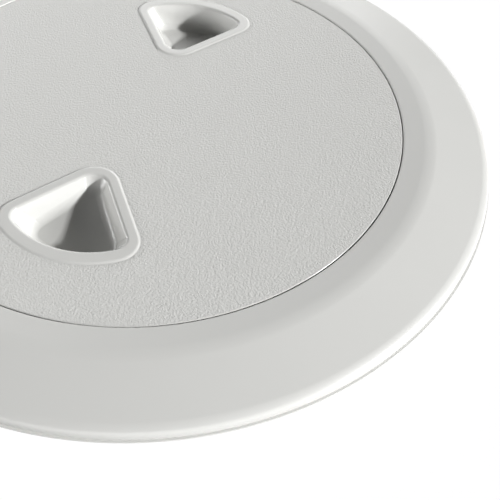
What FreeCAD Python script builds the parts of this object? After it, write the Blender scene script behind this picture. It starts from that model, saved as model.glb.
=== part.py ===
import FreeCAD, Part

import math
import os
import re

import Sketcher

# Round screw-out deck inspection plate, in millimetres.
# The origin is on the plate's axis, in the plane of the deck that the flange lies on. +Z points up,
# out of the deck, and the two finger pockets of the lid lie on the Y axis.

# Driving sizes: the value of each and what it measures
SIZES = {
    # Lid plate
    "lid_diameter": (153.4, "outer diameter of the lid's plate"),
    "lid_plate_thickness": (3.2, "thickness of the lid's plate"),
    "lid_edge_chamfer": (0.35, "chamfer of the lid's upper edge"),
    "lid_gap": (0.55, "open joint between the lid's edge and the trim ring"),
    "lid_seat_gap": (0.3, "height of the lid's plate above its shelf"),
    # Lid skirt, which carries the male thread
    "skirt_wall": (2.0, "wall of the skirt below the plate"),
    "skirt_depth": (10.8, "length of the skirt below the plate"),
    "skirt_end_chamfer": (0.8, "chamfer at the skirt's lower end"),
    "thread_room": (2.1, "radial room for the thread between skirt and bore"),
    # Stiffening of the lid's underside
    "rib_count": (8, "radial ribs below the plate"),
    "rib_thickness": (1.8, "thickness of a rib"),
    "rib_depth": (5.0, "depth of a rib below the plate"),
    "hub_diameter": (26.0, "outer diameter of the ring rib in the middle"),
    # Finger pockets: rounded triangles with their point towards the middle of the lid
    "pocket_point": (26.8, "distance of the mouth's sharp point from the axis"),
    "pocket_half_angle": (36.9, "angle of each straight side to the radial line"),
    "pocket_reach": (57.5, "distance of the mouth's outer side from the axis"),
    "pocket_arc_radius": (27.0, "radius of the mouth's outer side"),
    "pocket_depth": (8.0, "depth at the outer wall, from the lid's face"),
    "pocket_floor_slope": (13.0, "slope of the floor, rising towards the middle"),
    "pocket_draft": (3.0, "inward lean of the walls from mouth to floor"),
    "pocket_point_radius": (5.0, "rounding of the mouth's inner point"),
    "pocket_corner_radius": (3.4, "rounding of the pocket's two outer corners"),
    "floor_point_radius": (1.4, "rounding of the floor's inner point"),
    "pocket_mouth_chamfer": (0.6, "chamfer of the mouth's edge"),
    "pocket_wall": (2.4, "wall of the cup around the pocket"),
    # Raised lip around each pocket
    "lip_height": (0.5, "height of the lip above the lid's face"),
    "lip_side_width": (2.9, "width of the lip along the straight sides"),
    "lip_arc_width": (3.6, "width of the lip along the outer side"),
    "lip_edge_chamfer": (0.2, "chamfer of the lip's outer edge"),
    # Trim ring, which clips over the flange and hides the screws
    "trim_diameter": (202.4, "outer diameter of the whole plate"),
    "trim_inner_rise": (0.15, "height of the inner edge above the lid's face"),
    "trim_crest_rise": (1.0, "height of the crest above the lid's face"),
    "trim_band_width": (7.1, "width of the dished band inside the crest"),
    "trim_band_radius": (40.0, "radius of the band's hollow"),
    "trim_inner_chamfer": (0.2, "chamfer of the inner edge"),
    "trim_crest_chamfer": (0.5, "chamfer of the crest"),
    "trim_rim_height": (2.6, "height at which the slope meets the rim"),
    "trim_rim_radius": (2.3, "rounding of the rim, made as two bevels"),
    "trim_wall": (1.85, "height of the wall below the band and the slope"),
    "trim_foot": (1.8, "wall of the inner foot that stands on the flange"),
    "trim_rim_wall": (2.7, "wall of the rim"),
    "snap_bead": (0.6, "reach of the bead that clips under the flange"),
    "snap_bead_height": (0.55, "height of the bead above the deck"),
    "snap_gap": (0.15, "play between the bead and the flange's lower edge"),
    # Base ring: flange, lid shelf and collar in one moulding
    "flange_thickness": (3.0, "thickness of the flange, deck to lid shelf"),
    "flange_rim_gap": (0.3, "play between the flange's edge and the rim"),
    "flange_top_gap": (0.2, "play between the flange's bevel and the trim ring"),
    "clear_bore_diameter": (146.0, "bore of the collar at the root of its thread"),
    "collar_wall": (3.0, "wall of the collar"),
    "collar_depth": (28.0, "depth of the collar below the deck"),
    "screw_count": (6, "fixing screws"),
    "screw_hole_diameter": (5.2, "diameter of a screw hole"),
    "countersink_diameter": (9.6, "diameter of a countersink at the flange's face"),
    "countersink_angle": (90.0, "included angle of a countersink"),
    # Flat sealing ring under the lid's plate
    "seal_width": (3.4, "width of the sealing ring"),
    "seal_thickness": (2.0, "thickness of the sealing ring"),
    "seal_gap": (0.25, "play of the sealing ring to the lid and to its seat"),
}

# Heights and radii that follow from the driving sizes
LID_TOP = "(flange_thickness + lid_seat_gap + lid_plate_thickness)"
LID_UNDERSIDE = "(flange_thickness + lid_seat_gap)"
LIP_TOP = f"({LID_TOP} + lip_height)"
LID_RADIUS = "(lid_diameter / 2)"
BORE_RADIUS = "(clear_bore_diameter / 2)"
SKIRT_RADIUS = f"({BORE_RADIUS} - thread_room)"
SEAL_BORE = f"({SKIRT_RADIUS} + seal_gap)"
SEAL_TOP = f"({LID_UNDERSIDE} - seal_gap)"
SEAT_RADIUS = f"({SEAL_BORE} + seal_width + seal_gap)"
SEAT_FLOOR = f"({SEAL_TOP} - seal_thickness - seal_gap)"
TRIM_BORE = f"({LID_RADIUS} + lid_gap)"
CREST_RADIUS = f"({TRIM_BORE} + trim_band_width)"
CREST_HEIGHT = f"({LID_TOP} + trim_crest_rise)"
TRIM_RADIUS = "(trim_diameter / 2)"
RIM_INSIDE = f"({TRIM_RADIUS} - trim_rim_wall)"
TRIM_FALL = f"(({CREST_HEIGHT} - trim_rim_height) / ({TRIM_RADIUS} - {CREST_RADIUS}))"
TRIM_SLOPE = f"atan({TRIM_FALL})"
BEVEL_TOP = f"({CREST_HEIGHT} - trim_wall - flange_top_gap)"
BEVEL_START = f"({CREST_RADIUS} + ({BEVEL_TOP} - flange_thickness) / {TRIM_FALL})"
SCREW_CIRCLE_RADIUS = f"(({TRIM_BORE} + trim_foot + {BEVEL_START}) / 2)"
RIM_MIDDLE = f"(45 deg - {TRIM_SLOPE} / 2)"
RIM_TANGENT = f"(trim_rim_radius * tan({RIM_MIDDLE}))"
POINT_WIDENING = "(1 / sin(pocket_half_angle * 1 deg))"
FLOOR_PIVOT = "(pocket_reach - pocket_draft)"

doc = FreeCAD.newDocument("deck_inspection_plate")
sheet = doc.addObject("Spreadsheet::Sheet", "Sizes")
for row, (alias, (size, meaning)) in enumerate(SIZES.items(), start=1):
    sheet.set(f"A{row}", meaning)
    sheet.set(f"B{row}", str(size))
    sheet.setAlias(f"B{row}", alias)
doc.recompute()


def formula(text):
    """The expression with each size read from the sheet."""
    return re.sub(r"[a-z_]+", lambda word: f"Sizes.{word[0]}" if word[0] in SIZES else word[0], text)


def value(text):
    """The number that an expression gives with the sheet's sizes."""
    return float(sheet.evalExpression(formula(text)))


def bind(target, path, text):
    target.setExpression(path, formula(text))


def origin_feature(body, role):
    return next(feature for feature in body.Origin.OriginFeatures if feature.Role == role)


def new_sketch(body, name, role):
    sketch = body.newObject("Sketcher::SketchObject", name)
    sketch.AttachmentSupport = [(origin_feature(body, role), "")]
    sketch.MapMode = "FlatFace"
    return sketch


def place_point(sketch, edge, end, across, up, name):
    """Holds one end of an edge at its distances from the sketch's origin."""
    for kind, text, suffix in (("DistanceX", across, "across"), ("DistanceY", up, "up")):
        sketch.addConstraint(Sketcher.Constraint(kind, -1, 1, edge, end, value(text)))
        sketch.renameConstraint(sketch.ConstraintCount - 1, f"{name}_{suffix}")
        bind(sketch, f"Constraints.{name}_{suffix}", text)


def arc_about(centre, start, end):
    """The arc about a centre that runs counterclockwise from start to end."""
    first, last = (math.atan2(place.y - centre.y, place.x - centre.x) for place in (start, end))
    circle = Part.Circle(centre, FreeCAD.Vector(0, 0, 1), start.distanceToPoint(centre))
    return Part.ArcOfCircle(circle, first, last if last > first else last + 2 * math.pi)


def arc_between(start, end, radius):
    """The shorter arc of a radius that runs counterclockwise from start to end."""
    chord = end - start
    rise = math.sqrt(radius**2 - chord.Length**2 / 4)
    centre = (start + end) * 0.5 + FreeCAD.Vector(-chord.y, chord.x, 0).normalize() * rise
    return arc_about(centre, start, end)


def closed_outline(sketch, corners):
    """Joins named corners, listed counterclockwise, by straight edges and arcs.

    A corner that also gives a radius starts an arc, which bulges unless its radius comes with "hollow".
    """
    names = list(corners)
    places = [FreeCAD.Vector(value(corner[0]), value(corner[1]), 0) for corner in corners.values()]
    hollow = [corner[-1] == "hollow" for corner in corners.values()]
    for index, name in enumerate(names):
        start, end = places[index], places[(index + 1) % len(places)]
        if len(corners[name]) == 2:
            sketch.addGeometry(Part.LineSegment(start, end), False)
            continue
        radius = corners[name][2]
        first, last = (end, start) if hollow[index] else (start, end)
        sketch.addGeometry(arc_between(first, last, value(radius)), False)
        sketch.addConstraint(Sketcher.Constraint("Radius", index, value(radius)))
        sketch.renameConstraint(sketch.ConstraintCount - 1, f"{name}_radius")
        bind(sketch, f"Constraints.{name}_radius", radius)
    for index, name in enumerate(names):
        following = (index + 1) % len(names)
        end_here, start_there = (1 if hollow[index] else 2), (2 if hollow[following] else 1)
        sketch.addConstraint(Sketcher.Constraint("Coincident", index, end_here, following, start_there))
        place_point(sketch, index, 2 if hollow[index] else 1, corners[name][0], corners[name][1], name)


def revolve(body, sketch, name):
    turned = body.newObject("PartDesign::Revolution", name)
    turned.Profile = sketch
    turned.ReferenceAxis = (sketch, ["V_Axis"])
    turned.Angle = 360
    return turned


def pad(body, sketch, name, length, downward=False):
    raised = body.newObject("PartDesign::Pad", name)
    raised.Profile = sketch
    raised.Reversed = downward
    bind(raised, "Length", length)
    return raised


def repeat_round_axis(body, feature, name, count):
    pattern = body.newObject("PartDesign::PolarPattern", name)
    pattern.Originals = [feature]
    pattern.Axis = (origin_feature(body, "Z_Axis"), [""])
    pattern.Angle = 360
    bind(pattern, "Occurrences", count)
    body.Tip = pattern
    return pattern


def edge_names(shape, wanted):
    return [f"Edge{number}" for number, edge in enumerate(shape.Edges, start=1) if wanted(edge)]


def chamfer(body, name, size, wanted):
    """Chamfers the edges of the body's last feature that meet the test."""
    doc.recompute()
    base = body.Tip
    edges = edge_names(base.Shape, wanted)
    if not edges:
        raise ValueError(f"{name} finds no edge on {base.Name}")
    beveled = body.newObject("PartDesign::Chamfer", name)
    beveled.Base = (base, edges)
    bind(beveled, "Size", size)


def circle_at(radius, height):
    """A test for the full circles of a turned piece, at a radius and a height."""
    place = (value(radius), value(height))

    def wanted(edge):
        if not isinstance(edge.Curve, Part.Circle) or not edge.isClosed():
            return False
        return math.dist((edge.Curve.Radius, edge.Curve.Center.z), place) < 0.01

    return wanted


def new_body(name):
    body = doc.addObject("PartDesign::Body", name)
    body.Label = name
    return body


def base_ring():
    """Flange, lid shelf, seal seat and collar, turned as one section, with countersunk screw holes."""
    body = new_body("base_ring")
    section = new_sketch(body, "base_section", "XZ_Plane")
    edge_foot = f"{RIM_INSIDE} - snap_bead - snap_bead_height - snap_gap"
    edge_radius = f"{RIM_INSIDE} - flange_rim_gap"
    corners = {
        "collar_end_inside": (BORE_RADIUS, "-collar_depth"),
        "collar_end_outside": (f"{BORE_RADIUS} + collar_wall", "-collar_depth"),
        "flange_root": (f"{BORE_RADIUS} + collar_wall", "0"),
        "edge_foot": (edge_foot, "0"),
        "edge_low": (edge_radius, f"{edge_radius} - ({edge_foot})"),
        "edge_high": (edge_radius, f"{BEVEL_TOP} - ({edge_radius} - {CREST_RADIUS}) * {TRIM_FALL}"),
        "bevel_start": (BEVEL_START, "flange_thickness"),
        "seat_top": (SEAT_RADIUS, "flange_thickness"),
        "seat_foot": (SEAT_RADIUS, SEAT_FLOOR),
        "bore_top": (BORE_RADIUS, SEAT_FLOOR),
    }
    closed_outline(section, corners)
    revolve(body, section, "turned_section")
    doc.recompute()

    # Screw holes midway along the flange's flat, between the trim ring's foot and the bevel
    centre = new_sketch(body, "screw_hole_centre", "XY_Plane")
    bind(centre, ".AttachmentOffset.Base.z", "flange_thickness")
    hole_circle = Part.Circle(FreeCAD.Vector(), FreeCAD.Vector(0, 0, 1), value("screw_hole_diameter / 2"))
    centre.addGeometry(hole_circle, False)
    place_point(centre, 0, 3, SCREW_CIRCLE_RADIUS, "0", "centre")
    centre.addConstraint(Sketcher.Constraint("Radius", 0, value("screw_hole_diameter / 2")))
    centre.renameConstraint(centre.ConstraintCount - 1, "hole_radius")
    bind(centre, "Constraints.hole_radius", "screw_hole_diameter / 2")
    doc.recompute()
    hole = body.newObject("PartDesign::Hole", "screw_hole")
    hole.Profile = centre
    doc.recompute()
    hole.DepthType = "ThroughAll"
    hole.HoleCutType = "Countersink"
    hole.HoleCutCustomValues = True
    bind(hole, "Diameter", "screw_hole_diameter")
    bind(hole, "HoleCutDiameter", "countersink_diameter")
    bind(hole, "HoleCutCountersinkAngle", "countersink_angle")
    repeat_round_axis(body, hole, "screw_holes", "screw_count")
    return body


def trim_ring():
    """Hollow cover ring: dished band, crest, long slope and rounded rim, with a bead that clips on."""
    body = new_body("trim_ring")
    section = new_sketch(body, "trim_section", "XZ_Plane")
    ceiling = f"({CREST_HEIGHT} - trim_wall)"
    foot_inside = f"({TRIM_BORE} + trim_foot)"
    corners = {
        "foot_bore": (TRIM_BORE, "flange_thickness"),
        "foot_inside": (foot_inside, "flange_thickness"),
        "ceiling_inner": (foot_inside, f"{LID_TOP} + trim_inner_rise - trim_wall"),
        "ceiling_crest": (CREST_RADIUS, ceiling),
        "ceiling_outer": (RIM_INSIDE, f"{ceiling} - ({RIM_INSIDE} - {CREST_RADIUS}) * {TRIM_FALL}"),
        "bead_top": (RIM_INSIDE, "snap_bead_height + snap_bead"),
        "bead_tip": (f"{RIM_INSIDE} - snap_bead", "snap_bead_height"),
        "bead_foot": (RIM_INSIDE, "0"),
        "rim_foot": (TRIM_RADIUS, "0"),
        "rim_low": (TRIM_RADIUS, f"trim_rim_height - {RIM_TANGENT}"),
        "rim_middle": (
            f"{TRIM_RADIUS} - trim_rim_radius * (1 - cos({RIM_MIDDLE}))",
            f"trim_rim_height - {RIM_TANGENT} + trim_rim_radius * sin({RIM_MIDDLE})",
        ),
        "rim_high": (
            f"{TRIM_RADIUS} - {RIM_TANGENT} * cos({TRIM_SLOPE})",
            f"trim_rim_height + {RIM_TANGENT} * sin({TRIM_SLOPE})",
        ),
        "crest": (CREST_RADIUS, CREST_HEIGHT, "trim_band_radius", "hollow"),
        "inner_edge": (TRIM_BORE, f"{LID_TOP} + trim_inner_rise"),
    }
    closed_outline(section, corners)
    revolve(body, section, "turned_section")
    crest = circle_at(CREST_RADIUS, CREST_HEIGHT)
    chamfer(body, "crest_chamfer", "trim_crest_chamfer", crest)
    inner_edge = circle_at(TRIM_BORE, f"{LID_TOP} + trim_inner_rise")
    chamfer(body, "inner_edge_chamfer", "trim_inner_chamfer", inner_edge)
    return body


def lid_seal():
    """Flat sealing ring around the lid's neck, between the plate and the seat in the base ring."""
    body = new_body("lid_seal")
    section = new_sketch(body, "seal_section", "XZ_Plane")
    corners = {
        "inside_foot": (SEAL_BORE, f"{SEAL_TOP} - seal_thickness"),
        "outside_foot": (f"{SEAL_BORE} + seal_width", f"{SEAL_TOP} - seal_thickness"),
        "outside_top": (f"{SEAL_BORE} + seal_width", SEAL_TOP),
        "inside_top": (SEAL_BORE, SEAL_TOP),
    }
    closed_outline(section, corners)
    revolve(body, section, "turned_section")
    return body


def triangle_sketch(body, name, height, outline, slope="0"):
    """A rounded triangle that points to the axis, its outer side an arc, on a level or sloping plane.

    The outline gives the distance of the sharp point, the reach and radius of the outer side, and the
    roundings of the point and of the two corners. A sloping plane tips about the line at the reach.
    """
    point, reach, arc_radius, point_radius, corner_radius = outline
    sketch = new_sketch(body, name, "XY_Plane")
    tip = FreeCAD.Rotation(FreeCAD.Vector(-1, 0, 0), value(slope))
    sketch.AttachmentOffset = FreeCAD.Placement(FreeCAD.Vector(0, value(reach), value(height)), tip)
    bind(sketch, ".AttachmentOffset.Base.y", reach)
    bind(sketch, ".AttachmentOffset.Base.z", height)
    if slope != "0":
        bind(sketch, ".AttachmentOffset.Rotation.Angle", f"{slope} * 1 deg")

    # Starting places: the centres of the roundings, and where these touch the sides and the outer arc
    sharp_point = f"(({point}) - ({reach})) / cos({slope} * 1 deg)"
    point_centre = f"{sharp_point} + ({point_radius}) * {POINT_WIDENING}"
    lean = math.radians(value("pocket_half_angle"))
    side = FreeCAD.Vector(math.sin(lean), math.cos(lean), 0)
    across_side = FreeCAD.Vector(math.cos(lean), -math.sin(lean), 0)
    outer_radius, tip_radius, corner = value(arc_radius), value(point_radius), value(corner_radius)
    outer_centre = FreeCAD.Vector(0, -outer_radius, 0)
    tip_centre = FreeCAD.Vector(0, value(point_centre), 0)
    line_start = FreeCAD.Vector(0, value(f"{sharp_point} + ({corner_radius}) * {POINT_WIDENING}"), 0)
    offset = line_start - outer_centre
    middle = offset.dot(side)
    along = -middle + math.sqrt(middle**2 - offset.dot(offset) + (outer_radius - corner) ** 2)
    corner_centre = line_start + side * along
    tip_touch = tip_centre + across_side * tip_radius
    side_touch = corner_centre + across_side * corner
    arc_touch = outer_centre + (corner_centre - outer_centre).normalize() * outer_radius

    def mirrored(place):
        return FreeCAD.Vector(-place.x, place.y, 0)

    sketch.addGeometry(arc_about(tip_centre, mirrored(tip_touch), tip_touch), False)
    sketch.addGeometry(Part.LineSegment(tip_touch, side_touch), False)
    sketch.addGeometry(arc_about(corner_centre, side_touch, arc_touch), False)
    sketch.addGeometry(arc_about(outer_centre, arc_touch, mirrored(arc_touch)), False)
    sketch.addGeometry(arc_about(mirrored(corner_centre), mirrored(arc_touch), mirrored(side_touch)), False)
    sketch.addGeometry(Part.LineSegment(mirrored(side_touch), mirrored(tip_touch)), False)
    for edge in range(6):
        sketch.addConstraint(Sketcher.Constraint("Tangent", edge, 2, (edge + 1) % 6, 1))
    place_point(sketch, 0, 3, "0", point_centre, "point_centre")
    place_point(sketch, 3, 3, "0", f"-({arc_radius})", "arc_centre")
    measures = (
        ("Radius", 0, "point_radius", point_radius),
        ("Radius", 2, "right_corner_radius", corner_radius),
        ("Radius", 3, "arc_radius", arc_radius),
        ("Radius", 4, "left_corner_radius", corner_radius),
        ("Angle", 1, "right_side", "(90 - pocket_half_angle) * 1 deg"),
        ("Angle", 5, "left_side", "(pocket_half_angle - 90) * 1 deg"),
    )
    for kind, edge, label, text in measures:
        start = math.radians(value(text)) if kind == "Angle" else value(text)
        sketch.addConstraint(Sketcher.Constraint(kind, edge, start))
        sketch.renameConstraint(sketch.ConstraintCount - 1, label)
        bind(sketch, f"Constraints.{label}", text)
    return sketch


def loft(body, kind, name, first, last):
    joined = body.newObject(f"PartDesign::{kind}", name)
    joined.Profile = first
    joined.Sections = [last]
    joined.Ruled = True
    return joined


def lip_loop(body, outer):
    """A test for the outer or the inner edges of the lips' level tops."""
    doc.recompute()
    level = value(LIP_TOP)
    tops = [face for face in body.Tip.Shape.Faces if face.BoundBox.ZMin > level - 0.01]
    wires = [wire for face in tops for wire in face.Wires if wire.isSame(face.OuterWire) == outer]
    loop = [edge for wire in wires for edge in wire.Edges]
    return lambda edge: any(edge.isSame(loop_edge) for loop_edge in loop)


def lid():
    """Plate and threaded skirt, with two finger pockets that hang below the plate as cups."""
    body = new_body("lid")
    section = new_sketch(body, "lid_section", "XZ_Plane")
    skirt_inside = f"({SKIRT_RADIUS} - skirt_wall)"
    skirt_end = f"({LID_UNDERSIDE} - skirt_depth)"
    hub_foot = f"({LID_UNDERSIDE} - rib_depth)"
    corners = {
        "face_middle": ("0", LID_TOP),
        "plate_middle": ("0", LID_UNDERSIDE),
        "hub_inside": ("hub_diameter / 2 - rib_thickness", LID_UNDERSIDE),
        "hub_inside_foot": ("hub_diameter / 2 - rib_thickness", hub_foot),
        "hub_outside_foot": ("hub_diameter / 2", hub_foot),
        "hub_outside": ("hub_diameter / 2", LID_UNDERSIDE),
        "skirt_inside": (skirt_inside, LID_UNDERSIDE),
        "skirt_inside_end": (skirt_inside, skirt_end),
        "skirt_outside_end": (SKIRT_RADIUS, skirt_end),
        "neck": (SKIRT_RADIUS, LID_UNDERSIDE),
        "plate_edge_low": (LID_RADIUS, LID_UNDERSIDE),
        "plate_edge_high": (LID_RADIUS, LID_TOP),
    }
    closed_outline(section, corners)
    revolve(body, section, "turned_section")
    face_edge = circle_at(LID_RADIUS, LID_TOP)
    chamfer(body, "face_edge_chamfer", "lid_edge_chamfer", face_edge)
    end_edge = circle_at(SKIRT_RADIUS, skirt_end)
    chamfer(body, "skirt_end_chamfer", "skirt_end_chamfer", end_edge)

    # Cups around the pockets, below the plate
    cup_outline = (
        f"pocket_point - pocket_wall * {POINT_WIDENING}",
        "pocket_reach + pocket_wall",
        "pocket_arc_radius + pocket_wall",
        "pocket_point_radius + pocket_wall",
        "pocket_corner_radius + pocket_wall",
    )
    cup_base_outline = (
        f"pocket_point + (pocket_draft - pocket_wall) * {POINT_WIDENING}",
        f"{FLOOR_PIVOT} + pocket_wall",
        "pocket_arc_radius - pocket_draft + pocket_wall",
        "pocket_point_radius + pocket_wall",
        "pocket_corner_radius + pocket_wall",
    )
    cup_floor = f"{LID_TOP} - pocket_depth - pocket_wall"
    cup_top = triangle_sketch(body, "cup_top", LID_UNDERSIDE, cup_outline)
    cup_base = triangle_sketch(body, "cup_base", cup_floor, cup_base_outline, "pocket_floor_slope")
    cup = loft(body, "AdditiveLoft", "cup", cup_top, cup_base)
    repeat_round_axis(body, cup, "cups", "2")

    # Raised lips
    lip_outline = (
        f"pocket_point - lip_side_width * {POINT_WIDENING}",
        "pocket_reach + lip_arc_width",
        "pocket_arc_radius + lip_arc_width",
        "pocket_point_radius + lip_side_width",
        "pocket_corner_radius + lip_side_width",
    )
    lip = pad(body, triangle_sketch(body, "lip_outline", LID_TOP, lip_outline), "lip", "lip_height")
    repeat_round_axis(body, lip, "lips", "2")

    # Radial ribs
    rib_outline = new_sketch(body, "rib_outline", "XY_Plane")
    bind(rib_outline, ".AttachmentOffset.Base.z", LID_UNDERSIDE)
    bind(rib_outline, ".AttachmentOffset.Rotation.Angle", "180 / rib_count")
    rib_start = "hub_diameter / 2 - rib_thickness / 2"
    rib_end = f"{SKIRT_RADIUS} - skirt_wall / 2"
    rib_corners = {
        "start_right": (rib_start, "-rib_thickness / 2"),
        "end_right": (rib_end, "-rib_thickness / 2"),
        "end_left": (rib_end, "rib_thickness / 2"),
        "start_left": (rib_start, "rib_thickness / 2"),
    }
    closed_outline(rib_outline, rib_corners)
    rib = pad(body, rib_outline, "rib", "rib_depth", downward=True)
    repeat_round_axis(body, rib, "ribs", "rib_count")

    # Pockets
    mouth_outline = (
        "pocket_point",
        "pocket_reach",
        "pocket_arc_radius",
        "pocket_point_radius",
        "pocket_corner_radius",
    )
    floor_outline = (
        f"pocket_point + pocket_draft * {POINT_WIDENING}",
        FLOOR_PIVOT,
        "pocket_arc_radius - pocket_draft",
        "floor_point_radius",
        "pocket_corner_radius",
    )
    mouth = triangle_sketch(body, "pocket_mouth", LIP_TOP, mouth_outline)
    floor_height = f"{LID_TOP} - pocket_depth"
    floor = triangle_sketch(body, "pocket_floor", floor_height, floor_outline, "pocket_floor_slope")
    pocket = loft(body, "SubtractiveLoft", "pocket", mouth, floor)
    repeat_round_axis(body, pocket, "pockets", "2")
    chamfer(body, "pocket_mouth_chamfer", "pocket_mouth_chamfer", lip_loop(body, False))
    chamfer(body, "lip_edge_chamfer", "lip_edge_chamfer", lip_loop(body, True))
    return body


sub_parts = [base_ring(), trim_ring(), lid_seal(), lid()]
doc.recompute()

for item in doc.Objects:
    if {"Invalid", "Error"} & set(item.State):
        raise RuntimeError(f"{item.Name} did not rebuild: {item.State}")
for body in sub_parts:
    if body.Shape.isNull() or not body.Shape.isValid():
        raise RuntimeError(f"{body.Label} has no valid shape")

os.makedirs("parts", exist_ok=True)
for body in sub_parts:
    body.Shape.exportStep(f"parts/{body.Label}.step")
    box = body.Shape.optimalBoundingBox(False)
    extent = f"{box.XLength:.1f} x {box.YLength:.1f} x {box.ZLength:.1f}"
    print(f"{body.Label}: {len(body.Shape.Solids)} solid, {body.Shape.Volume / 1000:.1f} cm3, {extent} mm")
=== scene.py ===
import math

import bmesh
import bpy
from mathutils import Matrix, Vector


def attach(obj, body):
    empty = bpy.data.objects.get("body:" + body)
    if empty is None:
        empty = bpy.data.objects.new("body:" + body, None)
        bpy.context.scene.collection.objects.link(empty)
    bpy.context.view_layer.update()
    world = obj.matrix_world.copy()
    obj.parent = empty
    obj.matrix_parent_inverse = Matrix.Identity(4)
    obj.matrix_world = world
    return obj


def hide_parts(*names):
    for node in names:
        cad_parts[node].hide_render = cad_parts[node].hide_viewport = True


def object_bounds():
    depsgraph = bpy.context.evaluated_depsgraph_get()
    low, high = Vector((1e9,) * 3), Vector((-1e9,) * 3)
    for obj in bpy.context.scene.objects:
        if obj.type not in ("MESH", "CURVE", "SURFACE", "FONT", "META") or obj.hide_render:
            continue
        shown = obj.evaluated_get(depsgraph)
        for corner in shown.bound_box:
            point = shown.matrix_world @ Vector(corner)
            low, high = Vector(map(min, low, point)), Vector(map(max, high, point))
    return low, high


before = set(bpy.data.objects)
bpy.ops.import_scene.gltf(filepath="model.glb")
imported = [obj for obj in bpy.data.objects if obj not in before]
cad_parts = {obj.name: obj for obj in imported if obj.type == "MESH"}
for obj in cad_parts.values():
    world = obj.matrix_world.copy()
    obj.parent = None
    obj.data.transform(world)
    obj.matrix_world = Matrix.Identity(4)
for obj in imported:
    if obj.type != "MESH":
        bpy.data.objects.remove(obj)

cad_low, cad_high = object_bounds()

# Base ring: the flange, the lid's shelf and the collar are one injection moulding in light grey
# ASA. The flange beds on the deck, six countersunk holes take its screws, and the collar drops
# into the cut-out. It is turned from two runs of its section, joined by the two pierced faces.
FLANGE_TOP = 3.0
FLANGE_RADIUS = 98.2
FLANGE_EDGE_CHAMFER = 1.0
FLANGE_BEVEL_START = 92.775
FLANGE_BEVEL_LOW = 1.42
SEAT_RADIUS = 74.8
SEAT_FLOOR = 0.8
BORE_RADIUS = 73.0
COLLAR_RADIUS = 76.0
COLLAR_END = -28.0
COLLAR_END_ROUNDING = 0.5
SCREW_COUNT = 6
SCREW_CIRCLE = 85.91
SCREW_HOLE_RADIUS = 2.6
COUNTERSINK_RADIUS = 4.8
COUNTERSINK_FLOOR = 0.8
TURNING_STEPS = 288
MM = 0.001
NEAR = 0.002 * MM
UP = Vector((0, 0, 1))
CENTRE = Vector((0, 0, 0))


def turned(bm, section):
    """Spins an open run of (radius, height) points, in millimetres, round the plate's axis."""
    points = [bm.verts.new((radius * MM, 0, height * MM)) for radius, height in section]
    run = [bm.edges.new(pair) for pair in zip(points, points[1:])]
    bmesh.ops.spin(
        bm,
        geom=points + run,
        cent=CENTRE,
        axis=UP,
        angle=math.tau,
        steps=TURNING_STEPS,
        use_merge=True,
    )


def circle_edges(bm, radius, height, centre=(0, 0)):
    """The edges that lie on a level circle of the mesh."""
    middle = Vector((centre[0] * MM, centre[1] * MM, height * MM))

    def on_circle(vert):
        offset = vert.co - middle
        return abs(offset.z) < NEAR and abs(offset.length - radius * MM) < NEAR

    near = {vert for vert in bm.verts if on_circle(vert)}
    return [edge for edge in bm.edges if edge.verts[0] in near and edge.verts[1] in near]


def bored_hole(bm, centre, levels):
    """Bridges circles of (radius, height) into the wall of a hole."""
    rings = []
    for radius, height in levels:
        place = Matrix.Translation((centre[0] * MM, centre[1] * MM, height * MM))
        made = bmesh.ops.create_circle(bm, segments=48, radius=radius * MM, matrix=place)
        rings.append(list({edge for vert in made["verts"] for edge in vert.link_edges}))
    for upper, lower in zip(rings, rings[1:]):
        bmesh.ops.bridge_loops(bm, edges=upper + lower)


def rounded_edges(bm, edges, size, segments):
    """Rounds edges by a size in millimetres."""
    bmesh.ops.bevel(
        bm,
        geom=edges,
        offset=size * MM,
        offset_type="OFFSET",
        segments=segments,
        profile=0.5,
        affect="EDGES",
        material=-1,
    )


def rounded_rings(bm, circles, size, segments):
    """Rounds the turned edges at the given (radius, height) circles."""
    edges = [edge for radius, height in circles for edge in circle_edges(bm, radius, height)]
    rounded_edges(bm, edges, size, segments)


LIGHT_GREY = (0.588, 0.588, 0.57)
PLASTIC_IOR = 1.5
MOTTLE_SHARE = 0.015
SHEEN_SPREAD = 0.04


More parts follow.
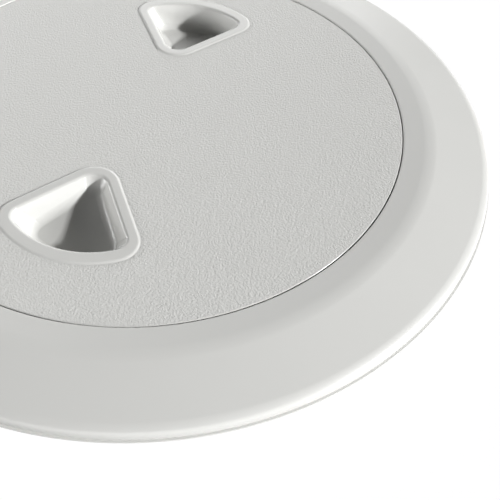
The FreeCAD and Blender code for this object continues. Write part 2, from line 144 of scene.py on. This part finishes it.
def moulded_finish(name, shade, roughness, relief):
    """One shade with a faint mottle, uneven sheen and a fine texture of a relief in millimetres."""
    material = bpy.data.materials.new(name)
    material.use_nodes = True
    nodes, links = material.node_tree.nodes, material.node_tree.links
    surface = nodes["Principled BSDF"]
    surface.inputs["IOR"].default_value = PLASTIC_IOR
    place = nodes.new("ShaderNodeTexCoord")
    place.name = "place"

    mottle = nodes.new("ShaderNodeTexNoise")
    mottle.inputs["Scale"].default_value = 45
    mottle.inputs["Detail"].default_value = 3
    links.new(place.outputs["Object"], mottle.inputs["Vector"])
    colour = nodes.new("ShaderNodeMix")
    colour.data_type = "RGBA"
    colour.inputs["A"].default_value = (*[part * (1 - MOTTLE_SHARE) for part in shade], 1)
    colour.inputs["B"].default_value = (*[part * (1 + MOTTLE_SHARE) for part in shade], 1)
    links.new(mottle.outputs["Fac"], colour.inputs["Factor"])
    links.new(colour.outputs["Result"], surface.inputs["Base Color"])

    sheen_patches = nodes.new("ShaderNodeMapRange")
    sheen_patches.name = "sheen_patches"
    sheen_patches.inputs["To Min"].default_value = roughness - SHEEN_SPREAD
    sheen_patches.inputs["To Max"].default_value = roughness + SHEEN_SPREAD
    links.new(mottle.outputs["Fac"], sheen_patches.inputs["Value"])
    links.new(sheen_patches.outputs["Result"], surface.inputs["Roughness"])

    texture = nodes.new("ShaderNodeTexNoise")
    texture.inputs["Scale"].default_value = 2400
    texture.inputs["Detail"].default_value = 2
    links.new(place.outputs["Object"], texture.inputs["Vector"])
    bump = nodes.new("ShaderNodeBump")
    bump.name = "fine_bump"
    bump.inputs["Strength"].default_value = 1.0
    bump.inputs["Distance"].default_value = relief * MM
    links.new(texture.outputs["Fac"], bump.inputs["Height"])
    links.new(bump.outputs["Normal"], surface.inputs["Normal"])
    return material


SHARP_ANGLE = math.radians(38)


def finished_piece(name, bm, body, material):
    """Closes the seams, turns the faces outwards and hands the mesh over as a piece."""
    bmesh.ops.remove_doubles(bm, verts=bm.verts, dist=1e-7)
    bmesh.ops.recalc_face_normals(bm, faces=bm.faces)
    mesh = bpy.data.meshes.new(name)
    bm.to_mesh(mesh)
    bm.free()
    mesh.shade_smooth()
    mesh.set_sharp_from_angle(angle=SHARP_ANGLE)
    piece = bpy.data.objects.new(name, mesh)
    bpy.context.collection.objects.link(piece)
    mesh.materials.append(material)
    weighted = piece.modifiers.new("weighted_normals", "WEIGHTED_NORMAL")
    weighted.keep_sharp = True
    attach(piece, body)
    return piece


base = bmesh.new()
under_edge = FLANGE_RADIUS - FLANGE_EDGE_CHAMFER
collar_section = [
    (SEAT_RADIUS, FLANGE_TOP),
    (SEAT_RADIUS, SEAT_FLOOR),
    (BORE_RADIUS, SEAT_FLOOR),
    (BORE_RADIUS, COLLAR_END),
    (COLLAR_RADIUS, COLLAR_END),
    (COLLAR_RADIUS, 0),
]
flange_edge_section = [
    (under_edge, 0),
    (FLANGE_RADIUS, FLANGE_EDGE_CHAMFER),
    (FLANGE_RADIUS, FLANGE_BEVEL_LOW),
    (FLANGE_BEVEL_START, FLANGE_TOP),
]
turned(base, collar_section)
turned(base, flange_edge_section)
countersunk_hole = [
    (COUNTERSINK_RADIUS, FLANGE_TOP),
    (SCREW_HOLE_RADIUS, COUNTERSINK_FLOOR),
    (SCREW_HOLE_RADIUS, 0),
]
screw_turns = [math.tau * number / SCREW_COUNT for number in range(SCREW_COUNT)]
hole_centres = [(SCREW_CIRCLE * math.cos(turn), SCREW_CIRCLE * math.sin(turn)) for turn in screw_turns]
for centre in hole_centres:
    bored_hole(base, centre, countersunk_hole)
pierced_faces = [
    (FLANGE_TOP, (SEAT_RADIUS, FLANGE_BEVEL_START), COUNTERSINK_RADIUS),
    (0, (COLLAR_RADIUS, under_edge), SCREW_HOLE_RADIUS),
]
for height, rings, hole in pierced_faces:
    outline = [edge for radius in rings for edge in circle_edges(base, radius, height)]
    for centre in hole_centres:
        outline += circle_edges(base, hole, height, centre)
    bmesh.ops.triangle_fill(base, edges=outline, use_beauty=True, normal=UP)
collar_end = [(BORE_RADIUS, COLLAR_END), (COLLAR_RADIUS, COLLAR_END)]
rounded_rings(base, collar_end, COLLAR_END_ROUNDING, 4)
base_plastic = moulded_finish("base_plastic", LIGHT_GREY, roughness=0.42, relief=0.01)
base_moulding = finished_piece("base_moulding", base, "frame", base_plastic)
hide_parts("base_ring")

# Collar thread: a coarse female thread moulded into the collar's bore, one ridge of a turn and a
# third with a lead of 6 mm. It is swept up a helix, and its upper turn lies 2 mm above the lid's
# ridge, measured from middle to middle.
LEAD = 6.0
RIDGE_ROOT_WIDTH = 2.0
RIDGE_CREST_WIDTH = 1.0
RIDGE_BITE = 0.05
COLLAR_RIDGE_HEIGHT = 1.5
COLLAR_RIDGE_LOW = -10.2
COLLAR_RIDGE_TURNS = 1.35


def thread_ridge(bm, root, crest, low, turns):
    """Spins a tapering ridge up a right-hand helix, from one height, and closes both its ends."""
    section = [
        (root, -RIDGE_ROOT_WIDTH / 2),
        (crest, -RIDGE_CREST_WIDTH / 2),
        (crest, RIDGE_CREST_WIDTH / 2),
        (root, RIDGE_ROOT_WIDTH / 2),
    ]
    points = [bm.verts.new((radius * MM, 0, (low + rise) * MM)) for radius, rise in section]
    edges = [bm.edges.new(pair) for pair in zip(points, points[1:] + points[:1])]
    steps = round(turns * TURNING_STEPS / 2)
    swept = bmesh.ops.spin(
        bm,
        geom=points + edges,
        cent=CENTRE,
        axis=UP,
        dvec=UP * (LEAD * turns / steps * MM),
        angle=math.tau * turns,
        steps=steps,
    )
    far_end = [part for part in swept["geom_last"] if isinstance(part, bmesh.types.BMVert)]
    for end in (points, far_end):
        bmesh.ops.contextual_create(bm, geom=end)


collar_thread = bmesh.new()
thread_ridge(
    collar_thread,
    root=BORE_RADIUS + RIDGE_BITE,
    crest=BORE_RADIUS - COLLAR_RIDGE_HEIGHT,
    low=COLLAR_RIDGE_LOW,
    turns=COLLAR_RIDGE_TURNS,
)
finished_piece("collar_thread", collar_thread, "frame", base_plastic)

# Trim ring: a hollow cover ring of the same plastic that clips over the flange and hides the
# screws. A narrow, barely dished band rises from the lid to a soft crest, and a long slope falls
# to the rounded rim and its thin foot. It is turned from one closed section, then rounded.
TRIM_BORE = 77.15
BAND_EDGE = (TRIM_BORE, 6.64)
BAND_HOLLOW = (81.6, 6.97)
CREST = (84.35, 7.2)
SLOPE_END = (99.7, 3.74)
RIM_TOP = (101.15, 2.75)
RIM_FOOT_RADIUS = 101.7
RIM_FOOT_HEIGHT = 0.5
RIM_INSIDE = 98.5
CLIP_BEAD = (97.9, 0.55)
CLIP_BEAD_TOP = 1.15
SLOPE_UNDERSIDE_LOW = 1.535
CREST_UNDERSIDE = 5.65
HEEL_RADIUS = 79.05
HEEL_UNDERSIDE = 4.8
trim = bmesh.new()
trim_section = [
    (TRIM_BORE, FLANGE_TOP),
    BAND_EDGE,
    BAND_HOLLOW,
    CREST,
    SLOPE_END,
    RIM_TOP,
    (RIM_TOP[0], RIM_FOOT_HEIGHT),
    (RIM_FOOT_RADIUS, RIM_FOOT_HEIGHT),
    (RIM_FOOT_RADIUS, 0),
    (RIM_INSIDE, 0),
    CLIP_BEAD,
    (RIM_INSIDE, CLIP_BEAD_TOP),
    (RIM_INSIDE, SLOPE_UNDERSIDE_LOW),
    (CREST[0], CREST_UNDERSIDE),
    (HEEL_RADIUS, HEEL_UNDERSIDE),
    (HEEL_RADIUS, FLANGE_TOP),
    (TRIM_BORE, FLANGE_TOP),
]
trim_roundings = [
    (CREST, 1.9, 12),
    (SLOPE_END, 0.95, 8),
    (RIM_TOP, 0.75, 8),
    (BAND_EDGE, 0.4, 5),
]
turned(trim, trim_section)
for circle, size, segments in trim_roundings:
    rounded_rings(trim, [circle], size, segments)
trim_plastic = moulded_finish("trim_plastic", LIGHT_GREY, roughness=0.38, relief=0.006)
trim_moulding = finished_piece("trim_moulding", trim, "frame", trim_plastic)
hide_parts("trim_ring")

# Sealing ring: a flat black rubber ring that sits round the lid's neck and is pressed into its
# seat when the lid is down. It is turned with softly rounded edges.
SEAL_BORE = 71.15
SEAL_RADIUS = 74.55
SEAL_LOW = 1.05
SEAL_TOP = 3.05
SEAL_ROUNDING = 0.35
RUBBER_BLACK = (0.03, 0.03, 0.032)
seal = bmesh.new()
seal_corners = [
    (SEAL_BORE, SEAL_LOW),
    (SEAL_RADIUS, SEAL_LOW),
    (SEAL_RADIUS, SEAL_TOP),
    (SEAL_BORE, SEAL_TOP),
]
turned(seal, seal_corners + seal_corners[:1])
rounded_rings(seal, seal_corners, SEAL_ROUNDING, 4)
rubber = moulded_finish("seal_rubber", RUBBER_BLACK, roughness=0.6, relief=0.02)
seal_piece = finished_piece("seal_ring", seal, "seal", rubber)
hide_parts("lid_seal")

# Lid: one moulding of the same plastic. Its flat face has a pebble grain, and two deep finger
# pockets with smooth raised lips, shaped as triangles that point to the middle, turn it. Below
# are the cups of the pockets, a ring rib with eight radial ribs, and the threaded skirt.
FACE_LEVEL = 6.5
UNDERSIDE = 3.3
LID_RADIUS = 76.9
LID_EDGE_ROUNDING = 0.3
SKIRT_RADIUS = 70.9
SKIRT_INSIDE = 68.9
SKIRT_END = -7.5
SKIRT_CHAMFER = 0.8
HUB_RADIUS = 13.0
RIB_COUNT = 8
RIB_THICKNESS = 1.8
RIB_DEPTH = 5.0
RIB_BITE = 0.8
LIP_LEVEL = 6.93
POCKET_DEPTH = 8.0
POCKET_WALL = 2.4
HALF_ANGLE = math.radians(36.9)
FLOOR_FALL = math.radians(13)
POCKET_GLOSS = 0.24
GRAIN_DEPTH = 0.17
LIP_FOOT = {"point": 21.72, "reach": 61.25, "arc_radius": 30.75, "point_radius": 8.05, "corner_radius": 6.45}
LIP_TOP = {"point": 22.85, "reach": 60.6, "arc_radius": 30.1, "point_radius": 7.37, "corner_radius": 5.8}
MOUTH = {"point": 27.3, "reach": 57.2, "arc_radius": 26.7, "point_radius": 4.7, "corner_radius": 3.1}
FLOOR = {"point": 31.8, "reach": 54.5, "arc_radius": 24.0, "point_radius": 2.6, "corner_radius": 3.8}
CUP_TOP = {"point": 22.8, "reach": 59.9, "arc_radius": 29.4, "point_radius": 7.4, "corner_radius": 5.8}
CUP_BASE = {"point": 27.8, "reach": 56.9, "arc_radius": 26.4, "point_radius": 7.4, "corner_radius": 5.8}


def swung(bm, vert, centre, turn, steps):
    """Draws an arc from a vertex, counterclockwise about a centre, and gives its end."""
    arc = bmesh.ops.spin(bm, geom=[vert], cent=centre * MM, axis=UP, angle=turn, steps=steps)
    return arc["geom_last"][0]


def pocket_outline(bm, height, fall, point, reach, arc_radius, point_radius, corner_radius):
    """A loop of edges round a triangle that points to the axis, on a level or falling plane."""
    lean = Vector((math.sin(HALF_ANGLE), math.cos(HALF_ANGLE), 0))
    across = Vector((math.cos(HALF_ANGLE), -math.sin(HALF_ANGLE), 0))
    widening = 1 / math.sin(HALF_ANGLE)
    arc_centre = Vector((0, reach - arc_radius, 0))
    tip_centre = Vector((0, point + point_radius * widening, 0))
    side_foot = Vector((0, point + corner_radius * widening, 0)) - arc_centre
    middle = side_foot.dot(lean)
    to_arc = (arc_radius - corner_radius) ** 2 - side_foot.length_squared
    right = arc_centre + side_foot + lean * (math.sqrt(middle**2 + to_arc) - middle)
    left = Vector((-right.x, right.y, 0))
    spread = math.atan2((right - arc_centre).y, (right - arc_centre).x)

    edges_before = set(bm.edges)
    first = bm.verts.new((tip_centre + Vector((-across.x, across.y, 0)) * point_radius) * MM)
    pen = swung(bm, first, tip_centre, math.pi - 2 * HALF_ANGLE, 24)
    pen = bmesh.ops.extrude_vert_indiv(bm, verts=[pen])["verts"][0]
    pen.co = (right + across * corner_radius) * MM
    pen = swung(bm, pen, right, spread + HALF_ANGLE, 24)
    pen = swung(bm, pen, arc_centre, math.pi - 2 * spread, 48)
    pen = swung(bm, pen, left, spread + HALF_ANGLE, 24)
    bmesh.ops.contextual_create(bm, geom=[pen, first])
    loop = [edge for edge in bm.edges if edge not in edges_before]
    for vert in {vert for edge in loop for vert in edge.verts}:
        vert.co.z = height * MM + (reach * MM - vert.co.y) * math.tan(fall)
    return loop


def open_edges(bm, height):
    """The edges at one height that have a face on one side only."""
    return [
        edge
        for edge in bm.edges
        if len(edge.link_faces) == 1
        and all(abs(vert.co.z - height * MM) < NEAR for vert in edge.verts)
    ]


lid = bmesh.new()
edge_turns = [math.radians(degrees) for degrees in (0, 30, 60, 90)]
lid_section = [
    (
        LID_RADIUS - LID_EDGE_ROUNDING * (1 - math.sin(turn)),
        FACE_LEVEL - LID_EDGE_ROUNDING * (1 - math.cos(turn)),
    )
    for turn in edge_turns
]
lid_section += [
    (LID_RADIUS, UNDERSIDE),
    (SKIRT_RADIUS, UNDERSIDE),
    (SKIRT_RADIUS, SKIRT_END + SKIRT_CHAMFER),
    (SKIRT_RADIUS - SKIRT_CHAMFER, SKIRT_END),
    (SKIRT_INSIDE, SKIRT_END),
    (SKIRT_INSIDE, UNDERSIDE),
]
turned(lid, lid_section)
hub_inside = HUB_RADIUS - RIB_THICKNESS
rib_low = UNDERSIDE - RIB_DEPTH
hub_section = [
    (HUB_RADIUS, UNDERSIDE),
    (HUB_RADIUS, rib_low),
    (hub_inside, rib_low),
    (hub_inside, UNDERSIDE),
]
turned(lid, hub_section)
bmesh.ops.contextual_create(lid, geom=circle_edges(lid, hub_inside, UNDERSIDE))
floor_low = FACE_LEVEL - POCKET_DEPTH
for half_turn in (0, math.pi):
    pocket = bmesh.new()
    lip_foot = pocket_outline(pocket, FACE_LEVEL, 0, **LIP_FOOT)
    lip_top = pocket_outline(pocket, LIP_LEVEL, 0, **LIP_TOP)
    mouth = pocket_outline(pocket, LIP_LEVEL, 0, **MOUTH)
    floor = pocket_outline(pocket, floor_low, FLOOR_FALL, **FLOOR)
    for outer, inner in ((lip_top, mouth), (mouth, floor), (lip_foot, lip_top)):
        bmesh.ops.bridge_loops(pocket, edges=outer + inner)
    bmesh.ops.contextual_create(pocket, geom=floor)
    pocket_roundings = [(floor, 1.8, 10), (mouth, 0.7, 6), (lip_top, 0.35, 4)]
    for loop, size, segments in pocket_roundings:
        rounded_edges(pocket, loop, size, segments)
    cup_top = pocket_outline(pocket, UNDERSIDE, 0, **CUP_TOP)
    cup_base = pocket_outline(pocket, floor_low - POCKET_WALL, FLOOR_FALL, **CUP_BASE)
    bmesh.ops.bridge_loops(pocket, edges=cup_top + cup_base)
    bmesh.ops.contextual_create(pocket, geom=cup_base)
    rounded_edges(pocket, cup_base, 1.2, 4)
    side = Matrix.Rotation(half_turn, 3, "Z")
    bmesh.ops.rotate(pocket, verts=pocket.verts, cent=CENTRE, matrix=side)
    held = bpy.data.meshes.new("pocket_half")
    pocket.to_mesh(held)
    pocket.free()
    lid.from_mesh(held)
    bpy.data.meshes.remove(held)
for height, facing in ((FACE_LEVEL, UP), (UNDERSIDE, -UP)):
    edges = open_edges(lid, height)
    bmesh.ops.triangle_fill(lid, edges=edges, use_beauty=True, normal=facing)
rib_start = HUB_RADIUS - RIB_BITE
rib_end = SKIRT_INSIDE + RIB_BITE
rib_middle = Vector(((rib_start + rib_end) / 2, 0, UNDERSIDE - RIB_DEPTH / 2)) * MM
rib_size = Vector((rib_end - rib_start, RIB_THICKNESS, RIB_DEPTH)) * MM
for number in range(RIB_COUNT):
    turn = math.tau * (number + 0.5) / RIB_COUNT
    place = Matrix.Rotation(turn, 4, "Z") @ Matrix.Translation(rib_middle)
    bmesh.ops.create_cube(lid, size=1, matrix=place @ Matrix.Diagonal((*rib_size, 1)))
lid_plastic = moulded_finish("lid_plastic", LIGHT_GREY, roughness=0.52, relief=0.01)
lid_nodes, lid_links = lid_plastic.node_tree.nodes, lid_plastic.node_tree.links
lid_surface = lid_nodes["Principled BSDF"]
fine_bump = lid_nodes["fine_bump"]
lid_place = lid_nodes["place"]

# The lid's pebble grain is a slightly wandering field of low bumps about half a millimetre
# across. The lips and the pockets are smooth, so it is kept to the level of the lid's face.
wander = lid_nodes.new("ShaderNodeTexNoise")
wander.inputs["Scale"].default_value = 2100
wander.inputs["Detail"].default_value = 2
wander.inputs["Roughness"].default_value = 0.45
lid_links.new(lid_place.outputs["Object"], wander.inputs["Vector"])
pebbles = lid_nodes.new("ShaderNodeTexVoronoi")
pebbles.feature = "SMOOTH_F1"
pebbles.inputs["Scale"].default_value = 1800
pebbles.inputs["Smoothness"].default_value = 0.6
lid_links.new(lid_place.outputs["Object"], pebbles.inputs["Vector"])
grain = lid_nodes.new("ShaderNodeMath")
grain.operation = "MULTIPLY_ADD"
grain.inputs[1].default_value = -0.35
lid_links.new(pebbles.outputs["Distance"], grain.inputs[0])
lid_links.new(wander.outputs["Fac"], grain.inputs[2])
lid_parts = lid_nodes.new("ShaderNodeSeparateXYZ")
lid_links.new(lid_place.outputs["Object"], lid_parts.inputs["Vector"])
on_face = lid_nodes.new("ShaderNodeMath")
on_face.operation = "COMPARE"
on_face.inputs[1].default_value = FACE_LEVEL * MM
on_face.inputs[2].default_value = 0.04 * MM
lid_links.new(lid_parts.outputs["Z"], on_face.inputs[0])
grain_bump = lid_nodes.new("ShaderNodeBump")
grain_bump.inputs["Distance"].default_value = GRAIN_DEPTH * MM
lid_links.new(on_face.outputs["Value"], grain_bump.inputs["Strength"])
lid_links.new(grain.outputs["Value"], grain_bump.inputs["Height"])
lid_links.new(fine_bump.outputs["Normal"], grain_bump.inputs["Normal"])
lid_links.new(grain_bump.outputs["Normal"], lid_surface.inputs["Normal"])
grained_gloss = lid_nodes.new("ShaderNodeMix")
grained_gloss.inputs["A"].default_value = POCKET_GLOSS
lid_links.new(on_face.outputs["Value"], grained_gloss.inputs["Factor"])
lid_links.new(lid_nodes["sheen_patches"].outputs["Result"], grained_gloss.inputs["B"])
lid_links.new(grained_gloss.outputs["Result"], lid_surface.inputs["Roughness"])
lid_moulding = finished_piece("lid_moulding", lid, "lid", lid_plastic)
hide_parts("lid")

# Lid thread: the male ridge on the skirt, one turn with the same lead of 6 mm, moulded with the
# lid. It turns and rises with the lid, so its distance from the collar's ridge stays the same.
LID_RIDGE_HEIGHT = 1.4
LID_RIDGE_LOW = -6.2
LID_RIDGE_TURNS = 1.0
lid_thread = bmesh.new()
thread_ridge(
    lid_thread,
    root=SKIRT_RADIUS - RIDGE_BITE,
    crest=SKIRT_RADIUS + LID_RIDGE_HEIGHT,
    low=LID_RIDGE_LOW,
    turns=LID_RIDGE_TURNS,
)
finished_piece("lid_thread", lid_thread, "lid", lid_plastic)

# Floor: a plain pale sheet under the collar. It shows white to the camera, and keeps a soft
# trace of the plate's shadow.
FLOOR_HALF_WIDTH = 6
FLOOR_DROP = 0.2 * MM
PAPER_SHADE = (0.8, 0.8, 0.8, 1)
PAPER_WHITE = 1.04
WHITENED_SHARE = 0.88
floor_grid = bmesh.new()
bmesh.ops.create_grid(floor_grid, x_segments=1, y_segments=1, size=FLOOR_HALF_WIDTH)
bmesh.ops.translate(floor_grid, verts=floor_grid.verts, vec=(0, 0, cad_low.z - FLOOR_DROP))
sheet = bpy.data.meshes.new("floor")
floor_grid.to_mesh(sheet)
floor_grid.free()
floor_object = bpy.data.objects.new("floor", sheet)
bpy.context.collection.objects.link(floor_object)
paper = bpy.data.materials.new("floor_paper")
paper.use_nodes = True
paper_nodes, paper_links = paper.node_tree.nodes, paper.node_tree.links
matte = paper_nodes["Principled BSDF"]
matte.inputs["Base Color"].default_value = PAPER_SHADE
matte.inputs["Roughness"].default_value = 0.9
glow = paper_nodes.new("ShaderNodeEmission")
glow.inputs["Strength"].default_value = PAPER_WHITE
seen = paper_nodes.new("ShaderNodeLightPath")
whiten = paper_nodes.new("ShaderNodeMath")
whiten.operation = "MULTIPLY"
whiten.inputs[1].default_value = WHITENED_SHARE
paper_mix = paper_nodes.new("ShaderNodeMixShader")
paper_links.new(seen.outputs["Is Camera Ray"], whiten.inputs[0])
paper_links.new(whiten.outputs["Value"], paper_mix.inputs["Fac"])
paper_links.new(matte.outputs["BSDF"], paper_mix.inputs[1])
paper_links.new(glow.outputs["Emission"], paper_mix.inputs[2])
paper_links.new(paper_mix.outputs["Shader"], paper_nodes["Material Output"].inputs["Surface"])
sheet.materials.append(paper)

# Studio light: a hard lamp low on the right draws the pockets' shadows, and three low soft boxes
# light the level faces from the other sides. The surround is bright at the horizon and dark
# above for the plate, and plain white for the camera.
HORIZON_LIGHT = 0.24
ZENITH_LIGHT = 0.015
scene = bpy.context.scene
scene.view_settings.view_transform = "Standard"
studio = bpy.data.worlds.new("studio")
studio.use_nodes = True
studio_nodes, studio_links = studio.node_tree.nodes, studio.node_tree.links
surround = studio_nodes["Background"]
surround.inputs["Color"].default_value = (1, 1, 1, 1)
direction = studio_nodes.new("ShaderNodeTexCoord")
direction_parts = studio_nodes.new("ShaderNodeSeparateXYZ")
studio_links.new(direction.outputs["Generated"], direction_parts.inputs["Vector"])
horizon = studio_nodes.new("ShaderNodeMapRange")
horizon.interpolation_type = "SMOOTHSTEP"
horizon.inputs["From Min"].default_value = 0.05
horizon.inputs["From Max"].default_value = 0.4
horizon.inputs["To Min"].default_value = HORIZON_LIGHT
horizon.inputs["To Max"].default_value = ZENITH_LIGHT
studio_links.new(direction_parts.outputs["Z"], horizon.inputs["Value"])
backdrop_seen = studio_nodes.new("ShaderNodeLightPath")
backdrop = studio_nodes.new("ShaderNodeMath")
backdrop.operation = "MAXIMUM"
studio_links.new(backdrop_seen.outputs["Is Camera Ray"], backdrop.inputs[0])
studio_links.new(horizon.outputs["Result"], backdrop.inputs[1])
studio_links.new(backdrop.outputs["Value"], surround.inputs["Strength"])
scene.world = studio


def soft_lamp(name, azimuth, elevation, distance, width, height, power):
    """A lamp that looks at the plate, in degrees, metres and watts. Azimuth 0 is +X, turning to +Y."""
    lamp = bpy.data.lights.new(name, "AREA")
    lamp.shape = "RECTANGLE"
    lamp.size = width
    lamp.size_y = height
    lamp.energy = power
    lamp_object = bpy.data.objects.new(name, lamp)
    bpy.context.collection.objects.link(lamp_object)
    turn, rise = math.radians(azimuth), math.radians(elevation)
    level = math.cos(rise)
    towards = Vector((math.cos(turn) * level, math.sin(turn) * level, math.sin(rise)))
    lamp_object.location = towards * distance
    lamp_object.rotation_euler = towards.to_track_quat("Z", "Y").to_euler()


soft_lamp("key_lamp", azimuth=2, elevation=20, distance=6, width=0.24, height=0.24, power=655)
soft_lamp("back_soft_box", azimuth=112, elevation=22, distance=2.0, width=2.13, height=1.22, power=21)
soft_lamp("left_soft_box", azimuth=195, elevation=13, distance=0.5, width=0.42, height=0.12, power=1.7)
soft_lamp("front_soft_box", azimuth=275, elevation=11, distance=0.55, width=0.45, height=0.11, power=0.75)

# Camera: close above the near edge of the plate, as in the photograph. The shift to the side
# stands for the photograph's frame, which shows the left part of a wider one.
CAMERA_PLACE = (0.064657, -0.141164, 0.134036)
CAMERA_TURN = (38.8314, 1.7111, 20.1426)
lens = bpy.data.cameras.new("camera")
lens.lens = 46.904
lens.shift_x = 0.166
lens.shift_y = -0.018
lens.clip_start = 0.01
camera = bpy.data.objects.new("camera", lens)
bpy.context.collection.objects.link(camera)
camera.location = CAMERA_PLACE
camera.rotation_euler = [math.radians(degrees) for degrees in CAMERA_TURN]
scene.camera = camera
